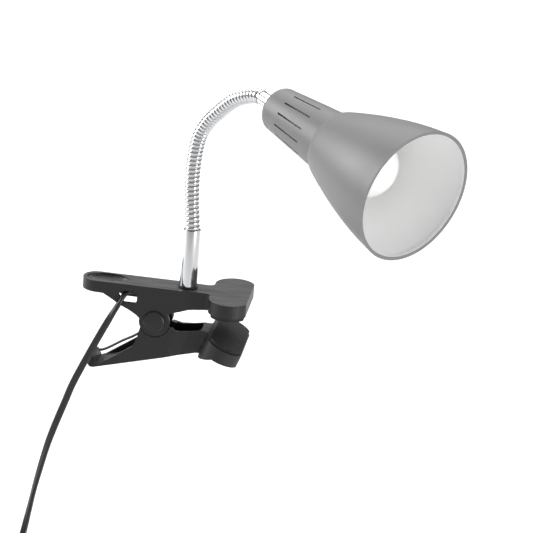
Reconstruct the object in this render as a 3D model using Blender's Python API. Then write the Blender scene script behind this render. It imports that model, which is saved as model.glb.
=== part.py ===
"""Clip-on reading lamp: spring clamp, sleeve, bendable neck, shade with bulb, and a flat mains cord.

Sizes are in millimetres and are turned to metres when a mesh is made. The origin is the middle of the
rubber face under the upper jaw, +X points out of the jaws, and +Z is up.
"""

from math import acos, atan2, ceil, cos, degrees, pi, radians, sin, sqrt

import bmesh
import bpy
from mathutils import Matrix, Vector

MM = 0.001
GAP = 0.3                 # between pieces that touch
CUT = 1.0                 # how far a cutter runs past the face it opens

# upper jaw
ARM_TOP = 12.8            # flat top of the arm and of the jaw
ARM_REAR = -110.9         # rear end of the arm
ARM_HALF = 11.0           # half width of the arm
ARM_NECK_HALF = 9.6       # half width just behind the jaw
ARM_WALL = 2.2
ARM_ROOF = 2.4            # thickness of the plate over the channel
PAD_DISC_R = 15.0         # the jaw's two round ends
PAD_DISC_Y = 16.5
PAD_DISC_X = 1.0
PAD_FRONT = 14.6          # straight front edge of the jaws
PAD_FILLET = 4.0          # where the arm runs into the discs
LINER_T = 2.6             # rubber liner
LINER_INSET = 1.2
RECESS_X, RECESS_LENGTH, RECESS_WIDTH, RECESS_DEPTH = -92.2, 32.4, 18.5, 5.0
WINDOW_X0, WINDOW_X1 = -82.0, -68.0     # cord window in the near wall
WINDOW_Z0, WINDOW_Z1 = -1.1, 7.8
NOTCH_Z = -3.2            # top of the shallow notch opposite the window

# hinge of the clamp
PIVOT_X, PIVOT_Z = -54.0, -13.9
EAR_R = 11.5
PIN_R = 2.5
CAP_R, CAP_T = 8.1, 2.2
REST_OPENING = 20.7       # degrees from closed to the stored pose
LOWER_WALL = 2.4
LOWER_EAR_R = 11.0
LOWER_REAR = -90.0        # rear end of the lower jaw's plan when shut
SPRING_WIRE_R = 1.0
SPRING_COIL_R = 5.0       # to the middle of the wire
SPRING_TURNS = 4

# sleeve and neck
SLEEVE_X = -32.2
SLEEVE_TOP = 58.0
SLEEVE_R_TOP, SLEEVE_R_FOOT = 6.3, 6.7
SLEEVE_FLOOR = 4.0
STUD_R, STUD_BORE_R = 4.0, 2.4
COLLAR_R, COLLAR_T = 7.3, 1.0
WASHER_R, WASHER_T = 7.8, 1.0
NUT_FLATS, NUT_T = 14.0, 4.0
NECK_R = 5.5
NECK_CLEAR = 0.3          # neck in its sleeve
NECK_TAIL = 30.0          # length of neck held inside the sleeve
NECK_AZIMUTH = -42.1      # degrees, the upright plane the neck lies in
JOINTS_IN_NECK = 5
BALL_R = 4.0
BALL_CLEAR = 0.3
STEM_R = 2.6
SHOULDER_BACK = 2.6       # from the middle of a ball back to the link's shoulder
# the neck's middle line in its plane: distance out from the sleeve's axis, height over the sleeve's top
NECK_ROUTE = [(0, 0), (-0.9, 8), (-3.2, 22), (-4.2, 45), (-0.6, 68), (8, 82.5),
              (19, 93.5), (34.8, 106.5), (51, 114.2), (64.5, 116.4)]

# head
SHADE_DROP = 9.4          # degrees the shade points below level
FERRULE_LENGTH = 15.5
FERRULE_R = 5.0
SHADE_LENGTH = 145.0
SHADE_BACK_R = 16.3
SHADE_BACK_ROUND = 6.5
CREASE_AT, CREASE_R = 61.5, 22.0
MOUTH_R = 47.0
SHADE_WALL = 1.3
RIM_WIDTH, RIM_DEPTH = 3.0, 3.0
SLOTS, SLOT_LENGTH, SLOT_WIDTH, SLOT_START = 13, 28.5, 1.5, 19.5
HEAD_STUD_R, HEAD_STUD_LENGTH = 4.8, 12.0
HEAD_NUT_FLATS, HEAD_NUT_T = 15.0, 4.0
HEAD_WASHER_R = 9.0
HOLDER_R = 13.5
HOLDER_LENGTH = 55.0      # cap and body together
HOLDER_CAP_LENGTH = 14.0
HOLDER_WALL = 2.2
CORE_R, CORE_T = HOLDER_R - HOLDER_WALL - 0.7, 9.0
BULB_CAP_R, BULB_CAP_LENGTH = 6.9, 19.0
SHELL_WALL = 0.5
GLOBE_R = 22.5
BULB_LENGTH = 81.0

# cord and what is on it
CORD_WIDTH = 5.4
FLOOR_Z = -215.0
# from the clip in the arm to the window
CORD_INSIDE = [(-60.5, -2.2, 5.0), (-67, -4.0, 5.2), (-72.6, -8.3, 4.2)]
# down beside the arm, with Y counted from the arm's side
CORD_BESIDE = [(-76.2, -2.0, 2.5), (-81, -4.1, -2.6), (-86.2, -4.2, -12.5), (-96.1, -4.2, -33.7),
               (-110.2, -4.0, -66.1), (-116.1, -3.8, -83.2), (-127, -3.6, -117.4)]
# down to the floor and along it to the switch
CORD_DOWN = [(-134.5, -16, -150.9), (-138.4, -18.5, -174), (-141.2, -25.5, -194),
             (-143, -36, -207.5), (-144.2, -49, -212.2), (-144.8, -62, -212.3)]
SWITCH_AT = (-144.8, -96.5)
SWITCH_LENGTH, SWITCH_WIDTH, SWITCH_HEIGHT = 62.0, 25.0, 17.0
ROCKER_LENGTH, ROCKER_WIDTH = 15.0, 10.0
ROCKER_TILT = 7.0         # degrees between the two rocker positions, halved
LINK_ROUTE = [(-144.8, -128.3, -212.3), (-144.3, -134, -212.3), (-143.1, -139.5, -212.3),
              (-141.6, -144.6, -212.3)]
COIL_AT = (-108.0, -165.0)
COIL_MIDDLE_R = 30.0
COIL_TURNS_WIDE, COIL_TURNS_HIGH = 2, 3
PLUG_FRONT, PLUG_Y = -50.0, -204.0      # the plug lies beside the coil, pins towards +X
PLUG_LENGTH, PLUG_WIDTH, PLUG_HEIGHT = 34.0, 26.0, 14.0
PIN_LENGTH, PLUG_PIN_R, PIN_SPACING = 19.0, 2.0, 18.6


# ---------------------------------------------------------------- small tools

def material(name, rgb, roughness, metallic=0.0, alpha=1.0):
    made = bpy.data.materials.new(name)
    made.use_nodes = True
    shader = made.node_tree.nodes["Principled BSDF"]
    shader.inputs["Base Color"].default_value = (*rgb, 1.0)
    shader.inputs["Roughness"].default_value = roughness
    shader.inputs["Metallic"].default_value = metallic
    shader.inputs["Alpha"].default_value = alpha
    return made


def empty(name, location, rotation=(0, 0, 0), parent=None):
    made = bpy.data.objects.new(name, None)
    made.location = Vector(location) * MM
    made.rotation_euler = rotation
    made.parent = parent
    bpy.context.scene.collection.objects.link(made)
    return made


def solid(name, bm, finish=None, parent=None, matrix=None):
    """Turns a closed bmesh in millimetres into an object in metres."""
    if matrix is not None:
        bm.transform(matrix)
    bmesh.ops.remove_doubles(bm, verts=bm.verts, dist=1e-4)
    bmesh.ops.recalc_face_normals(bm, faces=bm.faces)
    bm.transform(Matrix.Scale(MM, 4))
    mesh = bpy.data.meshes.new(name)
    bm.to_mesh(mesh)
    bm.free()
    mesh.shade_smooth()
    mesh.set_sharp_from_angle(angle=radians(35))
    made = bpy.data.objects.new(name, mesh)
    if finish is not None:
        mesh.materials.append(finish)
    made.parent = parent
    bpy.context.scene.collection.objects.link(made)
    return made


def combine(target, name, bm, operation="DIFFERENCE", matrix=None):
    """Adds a Boolean of target with a hidden helper solid in the same frame."""
    helper = solid(name, bm, parent=target.parent, matrix=matrix)
    helper.hide_render = True
    helper.display_type = "WIRE"
    modifier = target.modifiers.new(name, "BOOLEAN")
    modifier.operation = operation
    modifier.solver = "EXACT"
    modifier.object = helper
    return helper


def arc(cx, cy, r, start, end, steps):
    """Points of an arc, from angle start to angle end in degrees."""
    return [(cx + r * cos(radians(start + (end - start) * i / steps)),
             cy + r * sin(radians(start + (end - start) * i / steps))) for i in range(steps + 1)]


def prism(outline, low, high, plane="XZ"):
    """An outline raised from low to high, along Y for plane XZ and along Z for plane XY."""
    bm = bmesh.new()
    if plane == "XZ":
        corners = [bm.verts.new((x, low, z)) for x, z in outline]
        rise = (0, high - low, 0)
    else:
        corners = [bm.verts.new((x, y, low)) for x, y in outline]
        rise = (0, 0, high - low)
    face = bm.faces.new(corners)
    raised = bmesh.ops.extrude_face_region(bm, geom=[face])["geom"]
    bmesh.ops.translate(bm, vec=rise, verts=[v for v in raised if isinstance(v, bmesh.types.BMVert)])
    return bm


def block(x0, x1, y0, y1, z0, z1):
    return prism([(x0, z0), (x1, z0), (x1, z1), (x0, z1)], y0, y1)


def turned(profile, segments=24, closed=True):
    """A profile of (radius, height) points turned about Z. An open profile ends on the axis."""
    bm = bmesh.new()
    points = [bm.verts.new((r, 0, z)) for r, z in profile]
    edges = [bm.edges.new(pair) for pair in zip(points, points[1:])]
    if closed:
        edges.append(bm.edges.new((points[-1], points[0])))
    bmesh.ops.spin(bm, geom=points + edges, cent=(0, 0, 0), axis=(0, 0, 1), angle=2 * pi, steps=segments,
                   use_merge=True)
    return bm


def tube(r_in, r_out, low, high, segments=24):
    return turned([(r_in, low), (r_out, low), (r_out, high), (r_in, high)], segments)


def rod(r, low, high, segments=24):
    return turned([(0, low), (r, low), (r, high), (0, high)], segments, closed=False)


def hex_nut(flats, bore_r, low, high):
    """A six-sided nut about Z, bored right through."""
    corner = flats / sqrt(3)
    bm = bmesh.new()
    rings = []
    for height in (low, high):
        sixths = [(cos(pi * i / 3), sin(pi * i / 3)) for i in range(6)]
        around = [(cos(pi * i / 12), sin(pi * i / 12)) for i in range(24)]
        outer = [bm.verts.new((corner * x, corner * y, height)) for x, y in sixths]
        inner = [bm.verts.new((bore_r * x, bore_r * y, height)) for x, y in around]
        rings.append((outer, inner))
    for (outer, inner), flip in zip(rings, (True, False)):
        for i in range(6):
            hole = [inner[(4 * i + k) % 24] for k in range(5)]
            corners = [outer[i], outer[(i + 1) % 6]] + hole[::-1]
            bm.faces.new(corners[::-1] if flip else corners)
    for side in (0, 1):
        low_ring, high_ring = rings[0][side], rings[1][side]
        count = len(low_ring)
        for i in range(count):
            j = (i + 1) % count
            bm.faces.new((low_ring[i], low_ring[j], high_ring[j], high_ring[i]))
    return bm


def along_y(matrix_at=(0, 0, 0)):
    """Turns a solid made about Z to lie about Y, through a point."""
    return Matrix.Translation(matrix_at) @ Matrix.Rotation(-pi / 2, 4, "X")


def smooth_line(points, step, before=None, after=None):
    """Even points on a smooth curve through the given ones, coming from before and heading for after."""
    knots = [Vector(p) for p in points]
    before = 2 * knots[0] - knots[1] if before is None else Vector(before)
    after = 2 * knots[-1] - knots[-2] if after is None else Vector(after)
    padded = [before] + knots + [after]
    fine = []
    for a, b, c, d in zip(padded, padded[1:], padded[2:], padded[3:]):
        for i in range(24):
            t = i / 24
            fine.append(0.5 * ((2 * b) + (c - a) * t + (2 * a - 5 * b + 4 * c - d) * t * t
                               + (3 * b - a - 3 * c + d) * t ** 3))
    fine.append(knots[-1])
    lengths = [0.0]
    for p, q in zip(fine, fine[1:]):
        lengths.append(lengths[-1] + (q - p).length)
    count = max(2, ceil(lengths[-1] / step))
    result, at = [], 0
    for i in range(count + 1):
        wanted = lengths[-1] * i / count
        while at < len(fine) - 2 and lengths[at + 1] < wanted:
            at += 1
        share = (wanted - lengths[at]) / max(1e-9, lengths[at + 1] - lengths[at])
        result.append(fine[at].lerp(fine[at + 1], min(1, share)))
    return result


def wire(name, points, radius, finish, parent=None, sides=2):
    """A round wire or cord through points, as a curve with filled ends."""
    curve = bpy.data.curves.new(name, "CURVE")
    curve.dimensions = "3D"
    curve.bevel_depth = radius * MM
    curve.bevel_resolution = sides
    curve.use_fill_caps = True
    spline = curve.splines.new("POLY")
    spline.points.add(len(points) - 1)
    for target, p in zip(spline.points, points):
        target.co = (*(Vector(p) * MM), 1)
    curve.materials.append(finish)
    made = bpy.data.objects.new(name, curve)
    made.parent = parent
    bpy.context.scene.collection.objects.link(made)
    return made


# ---------------------------------------------------------------- clamp

def jaw_plan(rear):
    """Plan of a jaw: two discs across the front, and the arm with a rounded rear end."""
    drop = PAD_DISC_Y - ARM_NECK_HALF - PAD_FILLET
    reach = sqrt((PAD_DISC_R + PAD_FILLET) ** 2 - drop ** 2)
    lean = degrees(atan2(drop, reach))
    front = degrees(acos((PAD_FRONT - PAD_DISC_X) / PAD_DISC_R))
    near = arc(PAD_DISC_X - reach, -ARM_NECK_HALF - PAD_FILLET, PAD_FILLET, 90, -lean, 6)
    near += arc(PAD_DISC_X, -PAD_DISC_Y, PAD_DISC_R, -180 - lean, -front, 18)[1:]
    near = [(-36.0, -ARM_HALF), (-27.0, -ARM_NECK_HALF)] + near
    return near + [(x, -y) for x, y in reversed(near)] + arc(rear + ARM_HALF, 0, ARM_HALF, 90, 270, 16)


def upper_side():
    """Side view of the upper jaw, clockwise from the front top edge."""
    ear = arc(PIVOT_X, PIVOT_Z, EAR_R, 35, -188, 24)
    front = [(PAD_FRONT + 1, ARM_TOP), (PAD_FRONT + 1, LINER_T), (-13.6, LINER_T), (-15.4, 0),
             (-29.6, -1.8), (-38.5, -4.6)]
    rear = [(-67.9, -10.1), (-73.3, -6.9), (-79.6, -4.1), (-83.5, -1.9), (-86.7, 0.1),
            (-93.7, 3.9), (ARM_REAR - 1, 4.4), (ARM_REAR - 1, ARM_TOP)]
    return front + ear + rear


def make_upper_jaw(plastic, rubber):
    jaw = solid("upper_jaw", prism(upper_side(), -40, 40), plastic)
    combine(jaw, "plan_cutter", prism(jaw_plan(ARM_REAR), -40, 30, "XY"), "INTERSECT")
    inner = ARM_HALF - ARM_WALL
    roof = ARM_TOP - ARM_ROOF
    channel = [(-22, -40), (-22, roof - 2), (-24, roof), (-72, roof), (-76, roof - 1.6), (-84, 3.5),
               (-92, -4), (-92, -40)]
    combine(jaw, "channel_cutter", prism(channel, -inner, inner))
    recess = bmesh.new()
    bmesh.ops.create_uvsphere(recess, u_segments=24, v_segments=12, radius=1)
    recess_place = Matrix.Translation((RECESS_X, 0, ARM_TOP)) @ Matrix.Diagonal(
        (RECESS_LENGTH / 2, RECESS_WIDTH / 2, RECESS_DEPTH, 1))
    combine(jaw, "recess_cutter", recess, matrix=recess_place)
    window = [(WINDOW_X0 + 4, WINDOW_Z0), (WINDOW_X1 - 1, WINDOW_Z0), (WINDOW_X1, WINDOW_Z0 + 2),
              (WINDOW_X1, WINDOW_Z1 - 2), (WINDOW_X1 - 2, WINDOW_Z1), (WINDOW_X0 + 3, WINDOW_Z1),
              (WINDOW_X0, WINDOW_Z1 - 3)]
    combine(jaw, "window_cutter", prism(window, -ARM_HALF - CUT, -inner + CUT))
    combine(jaw, "notch_cutter", block(WINDOW_X0, WINDOW_X1, inner - CUT, ARM_HALF + CUT, -30, NOTCH_Z))
    under_sleeve = Matrix.Translation((SLEEVE_X, 0, 0))
    combine(jaw, "stud_cutter", rod(STUD_R + GAP, 0, ARM_TOP + CUT), matrix=under_sleeve)
    combine(jaw, "pin_cutter", rod(PIN_R + GAP, -ARM_HALF - CUT, ARM_HALF + CUT),
            matrix=along_y((PIVOT_X, 0, PIVOT_Z)))
    solid("upper_liner", prism(liner_plan(), 0, LINER_T - GAP, "XY"), rubber)
    return jaw


def liner_plan():
    """Plan of a rubber liner: the jaw's outline, set in all round and cut straight behind."""
    r = PAD_DISC_R - LINER_INSET
    front = degrees(acos((PAD_FRONT - LINER_INSET - PAD_DISC_X) / r))
    rear = degrees(acos((-11.0 - PAD_DISC_X) / r))
    near = arc(PAD_DISC_X, -PAD_DISC_Y, r, -rear, -front, 18)
    return near + [(x, -y) for x, y in reversed(near)]


def lower_side():
    """Side view of the lower jaw when shut, clockwise from the front top edge."""
    ear = arc(PIVOT_X, PIVOT_Z, LOWER_EAR_R, 225, 0, 24)
    top = [(-34.8, -12.6), (-26, -8), (-19.5, -4), (-14.5, -LINER_T)]
    bottom = [(-4, -ARM_TOP), (-32.6, -33.7), (-80.4, -68.5)]
    nose = [(-83.0, -69.4), (-85.2, -68.2), (-86.0, -65.6), (-85.6, -62.0), (-84.4, -60.4), (-82.8, -60.9)]
    inside = [(-78.9, -65.0), (-76.2, -62.4), (-60.6, -39.4), (-60.3, -31.8)]
    return [(PAD_FRONT + 1, -LINER_T), (PAD_FRONT + 1, -ARM_TOP)] + bottom + nose + inside + ear + top


def make_lower_jaw(plastic, rubber, hinge):
    shift = Matrix.Translation((-PIVOT_X, 0, -PIVOT_Z))
    ear_half = ARM_HALF - ARM_WALL - GAP
    jaw = solid("lower_jaw", prism(lower_side(), -40, 40), plastic, hinge, shift)
    combine(jaw, "lower_plan_cutter", prism(jaw_plan(LOWER_REAR), -90, 20, "XY"), "INTERSECT", shift)
    for side in (-1, 1):
        relief = rod(EAR_R + 2 * GAP, ear_half, ARM_HALF + CUT)
        turn = Matrix.Rotation(-side * pi / 2, 4, "X")
        combine(jaw, f"ear_relief_{side + 2}", relief, matrix=turn)
    inner = ear_half - LOWER_WALL
    slot = [(-20, -8), (-20, 20), (-72, 20), (-72, -30), (-78, -61), (-75.6, -62.1), (-32.6, -30.7),
            (-24, -24.5)]
    combine(jaw, "ear_slot_cutter", prism(slot, -inner, inner), matrix=shift)
    wide = ARM_HALF - LOWER_WALL
    trough = [(-20.5, -8), (-20.5, 19), (-38.5, 19), (-38.5, -29), (-40, -31), (-71, -31), (-77, -60.6),
              (-75.2, -61.6), (-32.6, -30.4), (-24.3, -24.3)]
    combine(jaw, "trough_cutter", prism(trough, -wide, wide), matrix=shift)
    combine(jaw, "lower_pin_cutter", rod(PIN_R + GAP, -ARM_HALF - CUT, ARM_HALF + CUT), matrix=along_y())
    solid("lower_liner", prism(liner_plan(), GAP - LINER_T, 0, "XY"), rubber, hinge, shift)
    return jaw


def make_pivot(steel, plastic):
    across = along_y((PIVOT_X, 0, PIVOT_Z))
    head = ARM_HALF + GAP
    solid("pivot_pin", rod(PIN_R, -head - CAP_T + 0.9, head + CAP_T - 0.9, 24), steel, matrix=across)
    bore = PIN_R + GAP
    edge = [(CAP_R, head), (CAP_R, head + 1.3), (CAP_R - 0.9, head + CAP_T)]
    dome = edge + [(bore, head + CAP_T), (bore, head)]
    solid("pivot_cap_far", turned(dome), plastic, matrix=across)
    face = [(0, head + CAP_T)] + edge[::-1] + [(bore, head), (bore, head + CAP_T - 0.6),
                                               (0, head + CAP_T - 0.6)]
    solid("pivot_cap_near", turned(face, closed=False), plastic,
          matrix=Matrix.Translation((PIVOT_X, 0, PIVOT_Z)) @ Matrix.Rotation(pi / 2, 4, "X"))


def make_spring(steel):
    """A torsion spring round the pin, with one leg in each handle."""
    pitch = 2 * SPRING_WIRE_R + 0.25
    half = pitch * SPRING_TURNS / 2
    lower_start, upper_end = 215.0, 130.0
    turn = 360 * SPRING_TURNS + (lower_start - upper_end)
    steps = 12 * SPRING_TURNS
    coil = []
    for i in range(steps + 1):
        angle = radians(lower_start - turn * i / steps)
        coil.append((PIVOT_X + SPRING_COIL_R * cos(angle), -half + 2 * half * i / steps,
                     PIVOT_Z + SPRING_COIL_R * sin(angle)))
    lower_leg = [(-96.0, -1.2, -45.0), (-90.5, -1.6, -43.2), (-78.0, -2.4, -34.8), (-66.6, -3.4, -27.3)]
    upper_leg = [(-62.0, half, -6.0), (-68.0, half, 1.5), (-73.0, half - 0.4, 7.0), (-76.0, half - 0.6, 6.4)]
    wire("torsion_spring", lower_leg + coil + upper_leg, SPRING_WIRE_R, steel)


# ---------------------------------------------------------------- sleeve and neck

def make_sleeve(chrome, plastic, steel):
    at = Matrix.Translation((SLEEVE_X, 0, 0))
    foot = ARM_TOP + GAP + COLLAR_T + GAP
    roof = ARM_TOP - ARM_ROOF
    washer_top = roof - GAP
    nut_top = washer_top - WASHER_T - GAP
    stud_end = nut_top - NUT_T - 0.8
    solid("base_collar", tube(STUD_R + GAP, COLLAR_R, ARM_TOP + GAP, foot - GAP), plastic, matrix=at)
    bore = NECK_R + NECK_CLEAR
    profile = [(STUD_BORE_R, stud_end), (STUD_R, stud_end), (STUD_R, foot), (SLEEVE_R_FOOT, foot),
               (SLEEVE_R_TOP, SLEEVE_TOP - 0.3), (SLEEVE_R_TOP - 0.25, SLEEVE_TOP), (bore, SLEEVE_TOP),
               (bore, foot + SLEEVE_FLOOR), (STUD_BORE_R, foot + SLEEVE_FLOOR)]
    solid("base_sleeve", turned(profile), chrome, matrix=at)
    solid("base_washer", tube(STUD_R + GAP, WASHER_R, washer_top - WASHER_T, washer_top), steel, matrix=at)
    solid("base_nut", hex_nut(NUT_FLATS, STUD_R + GAP, nut_top - NUT_T, nut_top), steel, matrix=at)


def neck_plane():
    """From (out, 0, up) in the neck's own plane to the object's frame."""
    return Matrix.Translation((SLEEVE_X, 0, 0)) @ Matrix.Rotation(radians(NECK_AZIMUTH), 4, "Z")


def neck_line():
    """Points along the neck's middle line, 1 mm apart, in its own plane."""
    second_out, second_up = NECK_ROUTE[1]
    before = (second_out, 0, SLEEVE_TOP - second_up)
    out, up = NECK_ROUTE[-2]
    reach = 2 * (NECK_ROUTE[-1][0] - out)
    after = (out + reach * cos(radians(SHADE_DROP)), 0, SLEEVE_TOP + up - reach * sin(radians(SHADE_DROP)))
    return smooth_line([(out, 0, SLEEVE_TOP + up) for out, up in NECK_ROUTE], 1.0, before, after)


def frame_at(line, distance):
    """Place and direction at a distance above the sleeve's top, straight down below it."""
    if distance <= 0:
        return line[0] + Vector((0, 0, distance)), Vector((0, 0, 1))
    step = sum((q - p).length for p, q in zip(line, line[1:])) / (len(line) - 1)
    at = distance / step
    i = min(max(int(at), 0), len(line) - 2)
    direction = (line[i + 1] - line[i]).normalized()
    return line[i] + direction * (at - i) * step, direction


def link(line, rings):
    """A link of the neck from (distance along, setback along the ring's axis, radius) rings."""
    bm = bmesh.new()
    sides = 16
    loops = []
    for distance, setback, radius in rings:
        centre, direction = frame_at(line, distance)
        centre = centre + direction * setback
        across = Vector((direction.z, 0, -direction.x))
        if radius == 0:
            loops.append([bm.verts.new(centre)])
            continue
        loops.append([bm.verts.new(centre + radius * (across * cos(2 * pi * i / sides)
                                                     + Vector((0, 1, 0)) * sin(2 * pi * i / sides)))
                      for i in range(sides)])
    for a, b in zip(loops, loops[1:]):
        for i in range(sides):
            j = (i + 1) % sides
            corners = [a[0]] if len(a) == 1 else [a[i], a[j]]
            corners += [b[0]] if len(b) == 1 else [b[j], b[i]]
            bm.faces.new(corners)
    return bm


def socket_rings(joint):
    """Hollow half ball that opens backwards at a joint."""
    r = BALL_R + BALL_CLEAR
    return [(joint, r * cos(radians(a)), r * sin(radians(a))) for a in (0, 22.5, 45, 67.5, 90)]


def ball_rings(joint):
    """Shoulder, stem and ball that stand forward of a link at a joint."""
    seat = degrees(acos(STEM_R / BALL_R)) + 90
    angles = [seat + (0 - seat) * i / 6 for i in range(7)]
    return [(joint, -SHOULDER_BACK - 0.6, NECK_R), (joint, -SHOULDER_BACK - 0.6, STEM_R)] + [
        (joint, BALL_R * cos(radians(a)), BALL_R * sin(radians(a)) if i < 6 else 0)
        for i, a in enumerate(angles)]


def neck_joints(line):
    total = sum((q - p).length for p, q in zip(line, line[1:]))
    return [total * (i + 0.5) / JOINTS_IN_NECK for i in range(JOINTS_IN_NECK)], total


def make_neck(chrome, turns):
    line = neck_line()
    joints, total = neck_joints(line)
    plane = neck_plane()
    to_local = Matrix.Translation((-SLEEVE_X, 0, -SLEEVE_TOP))
    root = [(-NECK_TAIL, 0, 0), (-NECK_TAIL, 0, NECK_R)] + [(joints[0] * i / 4, 0, NECK_R) for i in range(4)]
    solid("neck_root", link(line, root + ball_rings(joints[0])), chrome, turns[0], to_local @ plane)
    for i, joint in enumerate(joints):
        centre = plane @ frame_at(line, joint)[0]
        here = Matrix.Translation(-centre) @ plane
        last = i == JOINTS_IN_NECK - 1
        end = total if last else joints[i + 1]
        rings = socket_rings(joint)
        rings += [(joint + (end - joint) * k / 6, 0, NECK_R) for k in range(6)]
        rings += [(total, 0, NECK_R), (total, 0, 0)] if last else ball_rings(end)
        name = "neck_tip" if last else f"neck_link_{i + 1}"
        solid(name, link(line, rings), chrome, turns[i + 1], here)


# ---------------------------------------------------------------- head

def head_frame():
    """From the head's own frame, with +Z from the back of the shade to its mouth, to the object's frame."""
    drop = Matrix.Rotation(pi / 2 + radians(SHADE_DROP), 4, "Y")
    out, up = NECK_ROUTE[-1]
    reach = FERRULE_LENGTH + 2 * GAP
    back = (out + reach * cos(radians(SHADE_DROP)), 0, SLEEVE_TOP + up - reach * sin(radians(SHADE_DROP)))
    return neck_plane() @ Matrix.Translation(back) @ drop


def shade_outside():
    """Outer profile of the shade from its back to its mouth, as (radius, height)."""
    back = [(SHADE_BACK_R - SHADE_BACK_ROUND + x, SHADE_BACK_ROUND + y)
            for x, y in arc(0, 0, SHADE_BACK_ROUND, -90, 0, 5)]
    bell_share = [(0.035, 0.11), (0.12, 0.23), (0.22, 0.35), (0.375, 0.525), (0.53, 0.677), (0.675, 0.802),
                  (0.83, 0.91), (1, 1)]
    bell = [(CREASE_R + (MOUTH_R - CREASE_R) * rise, CREASE_AT + (SHADE_LENGTH - CREASE_AT) * run)
            for run, rise in bell_share]
    return back + [(CREASE_R, CREASE_AT)] + bell


def make_shade(paint, place):
    outside = shade_outside()
    inside = [(r - SHADE_WALL, z) for r, z in outside[5:-1]]
    inside[0] = (SHADE_BACK_R - SHADE_WALL - 4, SHADE_WALL)
    inside.insert(1, (SHADE_BACK_R - SHADE_WALL, SHADE_BACK_ROUND))
    mouth_inner = MOUTH_R - RIM_WIDTH
    rim = [(mouth_inner, SHADE_LENGTH), (mouth_inner, SHADE_LENGTH - RIM_DEPTH),
           (MOUTH_R - SHADE_WALL - 0.5, SHADE_LENGTH - RIM_DEPTH)]
    hole = HEAD_STUD_R + GAP
    profile = [(hole, 0)] + outside + rim + inside[::-1] + [(hole, SHADE_WALL)]
    shade = solid("shade", turned(profile, 40), paint, place)
    for i in range(SLOTS):
        turn = Matrix.Rotation(2 * pi * i / SLOTS, 4, "Z")
        slot = block(SHADE_BACK_R - 6, CREASE_R + 4, -SLOT_WIDTH / 2, SLOT_WIDTH / 2,
                     SLOT_START, SLOT_START + SLOT_LENGTH)
        combine(shade, f"slot_cutter_{i + 1}", slot, matrix=turn)
    return shade


def make_head(finishes, place):
    chrome, paint, steel, white, plastic, brass, glass = finishes
    stud = [(2.6, -FERRULE_LENGTH), (FERRULE_R, -FERRULE_LENGTH), (FERRULE_R, -GAP), (HEAD_STUD_R, -GAP),
            (HEAD_STUD_R, HEAD_STUD_LENGTH), (2.6, HEAD_STUD_LENGTH)]
    solid("head_ferrule", turned(stud, 24), chrome, place)
    make_shade(paint, place)
    washer = SHADE_WALL + GAP
    solid("head_washer", tube(HEAD_STUD_R + GAP, HEAD_WASHER_R, washer, washer + 1), steel, place)
    nut = washer + 1 + GAP
    solid("head_nut", hex_nut(HEAD_NUT_FLATS, HEAD_STUD_R + GAP, nut, nut + HEAD_NUT_T), steel, place)
    cap = nut + HEAD_NUT_T + GAP
    mouth = cap + HOLDER_LENGTH
    seam = cap + HOLDER_CAP_LENGTH
    bore = HEAD_STUD_R + GAP
    dome = [(bore, cap), (9.5, cap), (12.2, cap + 2), (HOLDER_R, cap + 5.5), (HOLDER_R, seam),
            (HOLDER_R - HOLDER_WALL, seam), (HOLDER_R - HOLDER_WALL, cap + 6), (bore, cap + 5)]
    solid("lampholder_cap", turned(dome), white, place)
    low = seam + GAP
    core_low = low + 1.5
    step = core_low + CORE_T + 2
    round_shell = BULB_CAP_R + SHELL_WALL + 2 * GAP + 0.4
    skirt = [(HOLDER_R - HOLDER_WALL, low), (HOLDER_R, low), (HOLDER_R - 0.6, mouth - 1),
             (HOLDER_R - 1.6, mouth), (round_shell, mouth), (round_shell, step),
             (HOLDER_R - HOLDER_WALL, step)]
    solid("lampholder_body", turned(skirt), white, place)
    solid("contact_block", rod(CORE_R, core_low, core_low + CORE_T), plastic, place)
    shell_low = core_low + CORE_T + GAP
    shell_in = BULB_CAP_R + GAP
    solid("screw_shell", tube(shell_in, shell_in + SHELL_WALL, shell_low, mouth - 4), brass, place)
    contact = rod(2.2, shell_low, shell_low + 1.6, 16)
    solid("centre_contact", contact, brass, place)
    for i, x in enumerate((-5.5, 5.5)):
        spot = Matrix.Translation((x, 0, core_low - GAP - 1.0))
        solid(f"terminal_screw_{i + 1}", rod(1.6, -1.0, 1.0, 12), brass, place, spot)
    make_bulb(glass, brass, plastic, place, shell_low + 1.6 + GAP)
    return mouth


def make_bulb(glass, brass, plastic, place, tip):
    """A small globe bulb: contact, insulator, screw cap and globe."""
    dot = [(0, tip), (2.2, tip), (2.6, tip + 1.2), (0, tip + 1.2)]
    solid("bulb_contact", turned(dot, 16, False), brass, place)
    insulator = tip + 1.2 + GAP
    button = [(0, insulator), (3.2, insulator), (5.8, insulator + 2.4), (0, insulator + 2.4)]
    solid("bulb_insulator", turned(button, 24, False), plastic, place)
    cap = insulator + 2.4 + GAP
    cap_end = tip + BULB_CAP_LENGTH + 4
    solid("bulb_cap", rod(BULB_CAP_R, cap, cap_end, 24), brass, place)
    glass_low = cap_end + GAP
    centre = tip + BULB_LENGTH - GLOBE_R
    neck_angle = -62
    globe = arc(0, centre, GLOBE_R, neck_angle, 90, 14)
    globe[-1] = (0, centre + GLOBE_R)
    profile = [(0, glass_low), (BULB_CAP_R, glass_low), (BULB_CAP_R + 0.6, glass_low + 2)] + globe
    solid("bulb_globe", turned(profile, 28, closed=False), glass, place)


# ---------------------------------------------------------------- cord

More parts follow.
